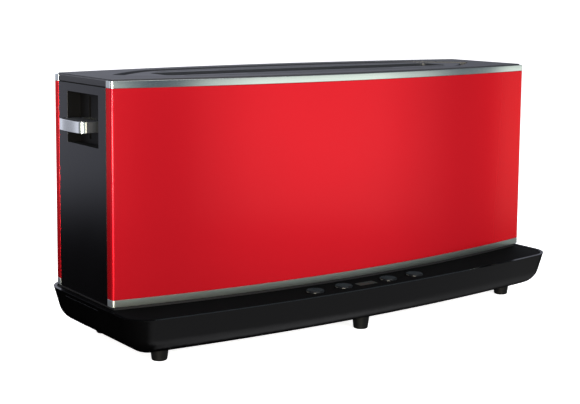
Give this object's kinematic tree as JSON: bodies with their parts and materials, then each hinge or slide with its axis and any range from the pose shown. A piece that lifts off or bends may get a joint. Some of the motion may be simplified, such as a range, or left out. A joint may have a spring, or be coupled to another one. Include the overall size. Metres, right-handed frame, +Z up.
{
  "type": "pop up toaster",
  "caption": "Long-slot toaster: bowed red panels with bright trims between dark ends, oval top rack, side lever and a wide black base with buttons and a slide-out crumb tray.",
  "frame": {"origin": "middle of the whole footprint, lever included, on the surface the feet stand on", "axes": "+X along the body away from the lever, -Y towards the buttons, +Z up"},
  "size_m": [0.4165, 0.164, 0.197],
  "materials": {
    "red_paint": "gloss",
    "bright_trim": "bright",
    "cap_plastic": "satin",
    "cover_plastic": "satin",
    "rack_steel": "satin enamel",
    "base_plastic": "satin",
    "inner_plastic": "moulded",
    "foot_rubber": "moulded",
    "button_plastic": "gloss",
    "window_pane": "tinted",
    "grip_plastic": "moulded",
    "plated_steel": "zinc plated",
    "bright_sheet": "aluminised sheet",
    "mica": "pressed mica",
    "ribbon": "resistance ribbon",
    "rod_steel": "ground rod",
    "tray_sheet": "rolled sheet",
    "board": "coated laminate",
    "module": "moulded block",
    "magnet": "laminated core",
    "screw": "zinc plated"
  },
  "bodies": {
    "housing": {"back_bottom_trim": "bright_trim", "back_bread_guard": "plated_steel", "back_element_board": "mica", "back_heating_ribbon": "ribbon", "back_panel": "red_paint", "back_reflector": "bright_sheet", "back_top_trim": "bright_trim", "base_shell": "base_plastic", "body_floor": "inner_plastic", "bun_rack": "rack_steel", "chamber_lid": "plated_steel", "control_board": "board", "control_deck": "base_plastic", "deck_screws": "screw", "display_module": "module", "display_window": "window_pane", "foot_back_left": "foot_rubber", "foot_back_middle": "foot_rubber", "foot_back_right": "foot_rubber", "foot_front_left": "foot_rubber", "foot_front_middle": "foot_rubber", "foot_front_right": "foot_rubber", "front_bottom_trim": "bright_trim", "front_bread_guard": "plated_steel", "front_element_board": "mica", "front_heating_ribbon": "ribbon", "front_panel": "red_paint", "front_reflector": "bright_sheet", "front_top_trim": "bright_trim", "guide_rods": "rod_steel", "latch_magnet": "magnet", "lever_end_bulkhead": "plated_steel", "lever_end_cap": "cap_plastic", "lever_rod": "rod_steel", "plain_end_bulkhead": "plated_steel", "plain_end_cap": "cap_plastic", "plain_end_guide_rod": "rod_steel", "power_board": "board", "tact_switches": "module", "top_cover": "cover_plastic"},
    "carriage": {"carriage_bracket": "plated_steel", "latch_armature": "magnet", "bread_rack": "plated_steel", "plain_end_bush": "inner_plastic", "return_spring": "rod_steel"},
    "lever": {"lever_band": "bright_trim", "lever_grip": "grip_plastic", "lever_slider": "plated_steel"},
    "rocker": {"rocker_arm": "plated_steel"},
    "crumb_tray": {"crumb_tray_front": "base_plastic", "crumb_pan": "tray_sheet"},
    "button_1_key": {"button_1": "button_plastic"},
    "button_2_key": {"button_2": "button_plastic"},
    "button_3_key": {"button_3": "button_plastic"},
    "button_4_key": {"button_4": "button_plastic"}
  },
  "joints": [
    {"name": "carriage_lift", "type": "slide", "parent": "housing", "child": "carriage", "axis": [0, 0, 1], "range_m": [0, 0.0525], "deforming": ["return_spring"]},
    {"name": "lever_lift", "type": "slide", "parent": "housing", "child": "lever", "axis": [0, 0, 1], "range_m": [0, 0.015]},
    {"name": "rocker_swing", "type": "hinge", "parent": "housing", "child": "rocker", "pos_m": [-0.17375, -0.013, 0.13225], "axis": [1, 0, 0], "range_deg": [0, 64.79]},
    {"name": "crumb_tray_slide", "type": "slide", "parent": "housing", "child": "crumb_tray", "axis": [-1, 0, 0], "range_m": [0, 0.3]},
    {"name": "button_1_press", "type": "slide", "parent": "housing", "child": "button_1_key", "axis": [0, 0, -1], "range_m": [0, 0.0012], "stiffness_N_per_m": 400, "springref_m": -0.001},
    {"name": "button_2_press", "type": "slide", "parent": "housing", "child": "button_2_key", "axis": [0, 0, -1], "range_m": [0, 0.0012], "stiffness_N_per_m": 400, "springref_m": -0.001},
    {"name": "button_3_press", "type": "slide", "parent": "housing", "child": "button_3_key", "axis": [0, 0, -1], "range_m": [0, 0.0012], "stiffness_N_per_m": 400, "springref_m": -0.001},
    {"name": "button_4_press", "type": "slide", "parent": "housing", "child": "button_4_key", "axis": [0, 0, -1], "range_m": [0, 0.0012], "stiffness_N_per_m": 400, "springref_m": -0.001}
  ],
  "couplings": [
    {"joint": "lever_lift", "follows": "carriage_lift", "ratio": 0.28571},
    {"joint": "rocker_swing", "follows": "carriage_lift", "rad_per_m": 21.537}
  ]
}
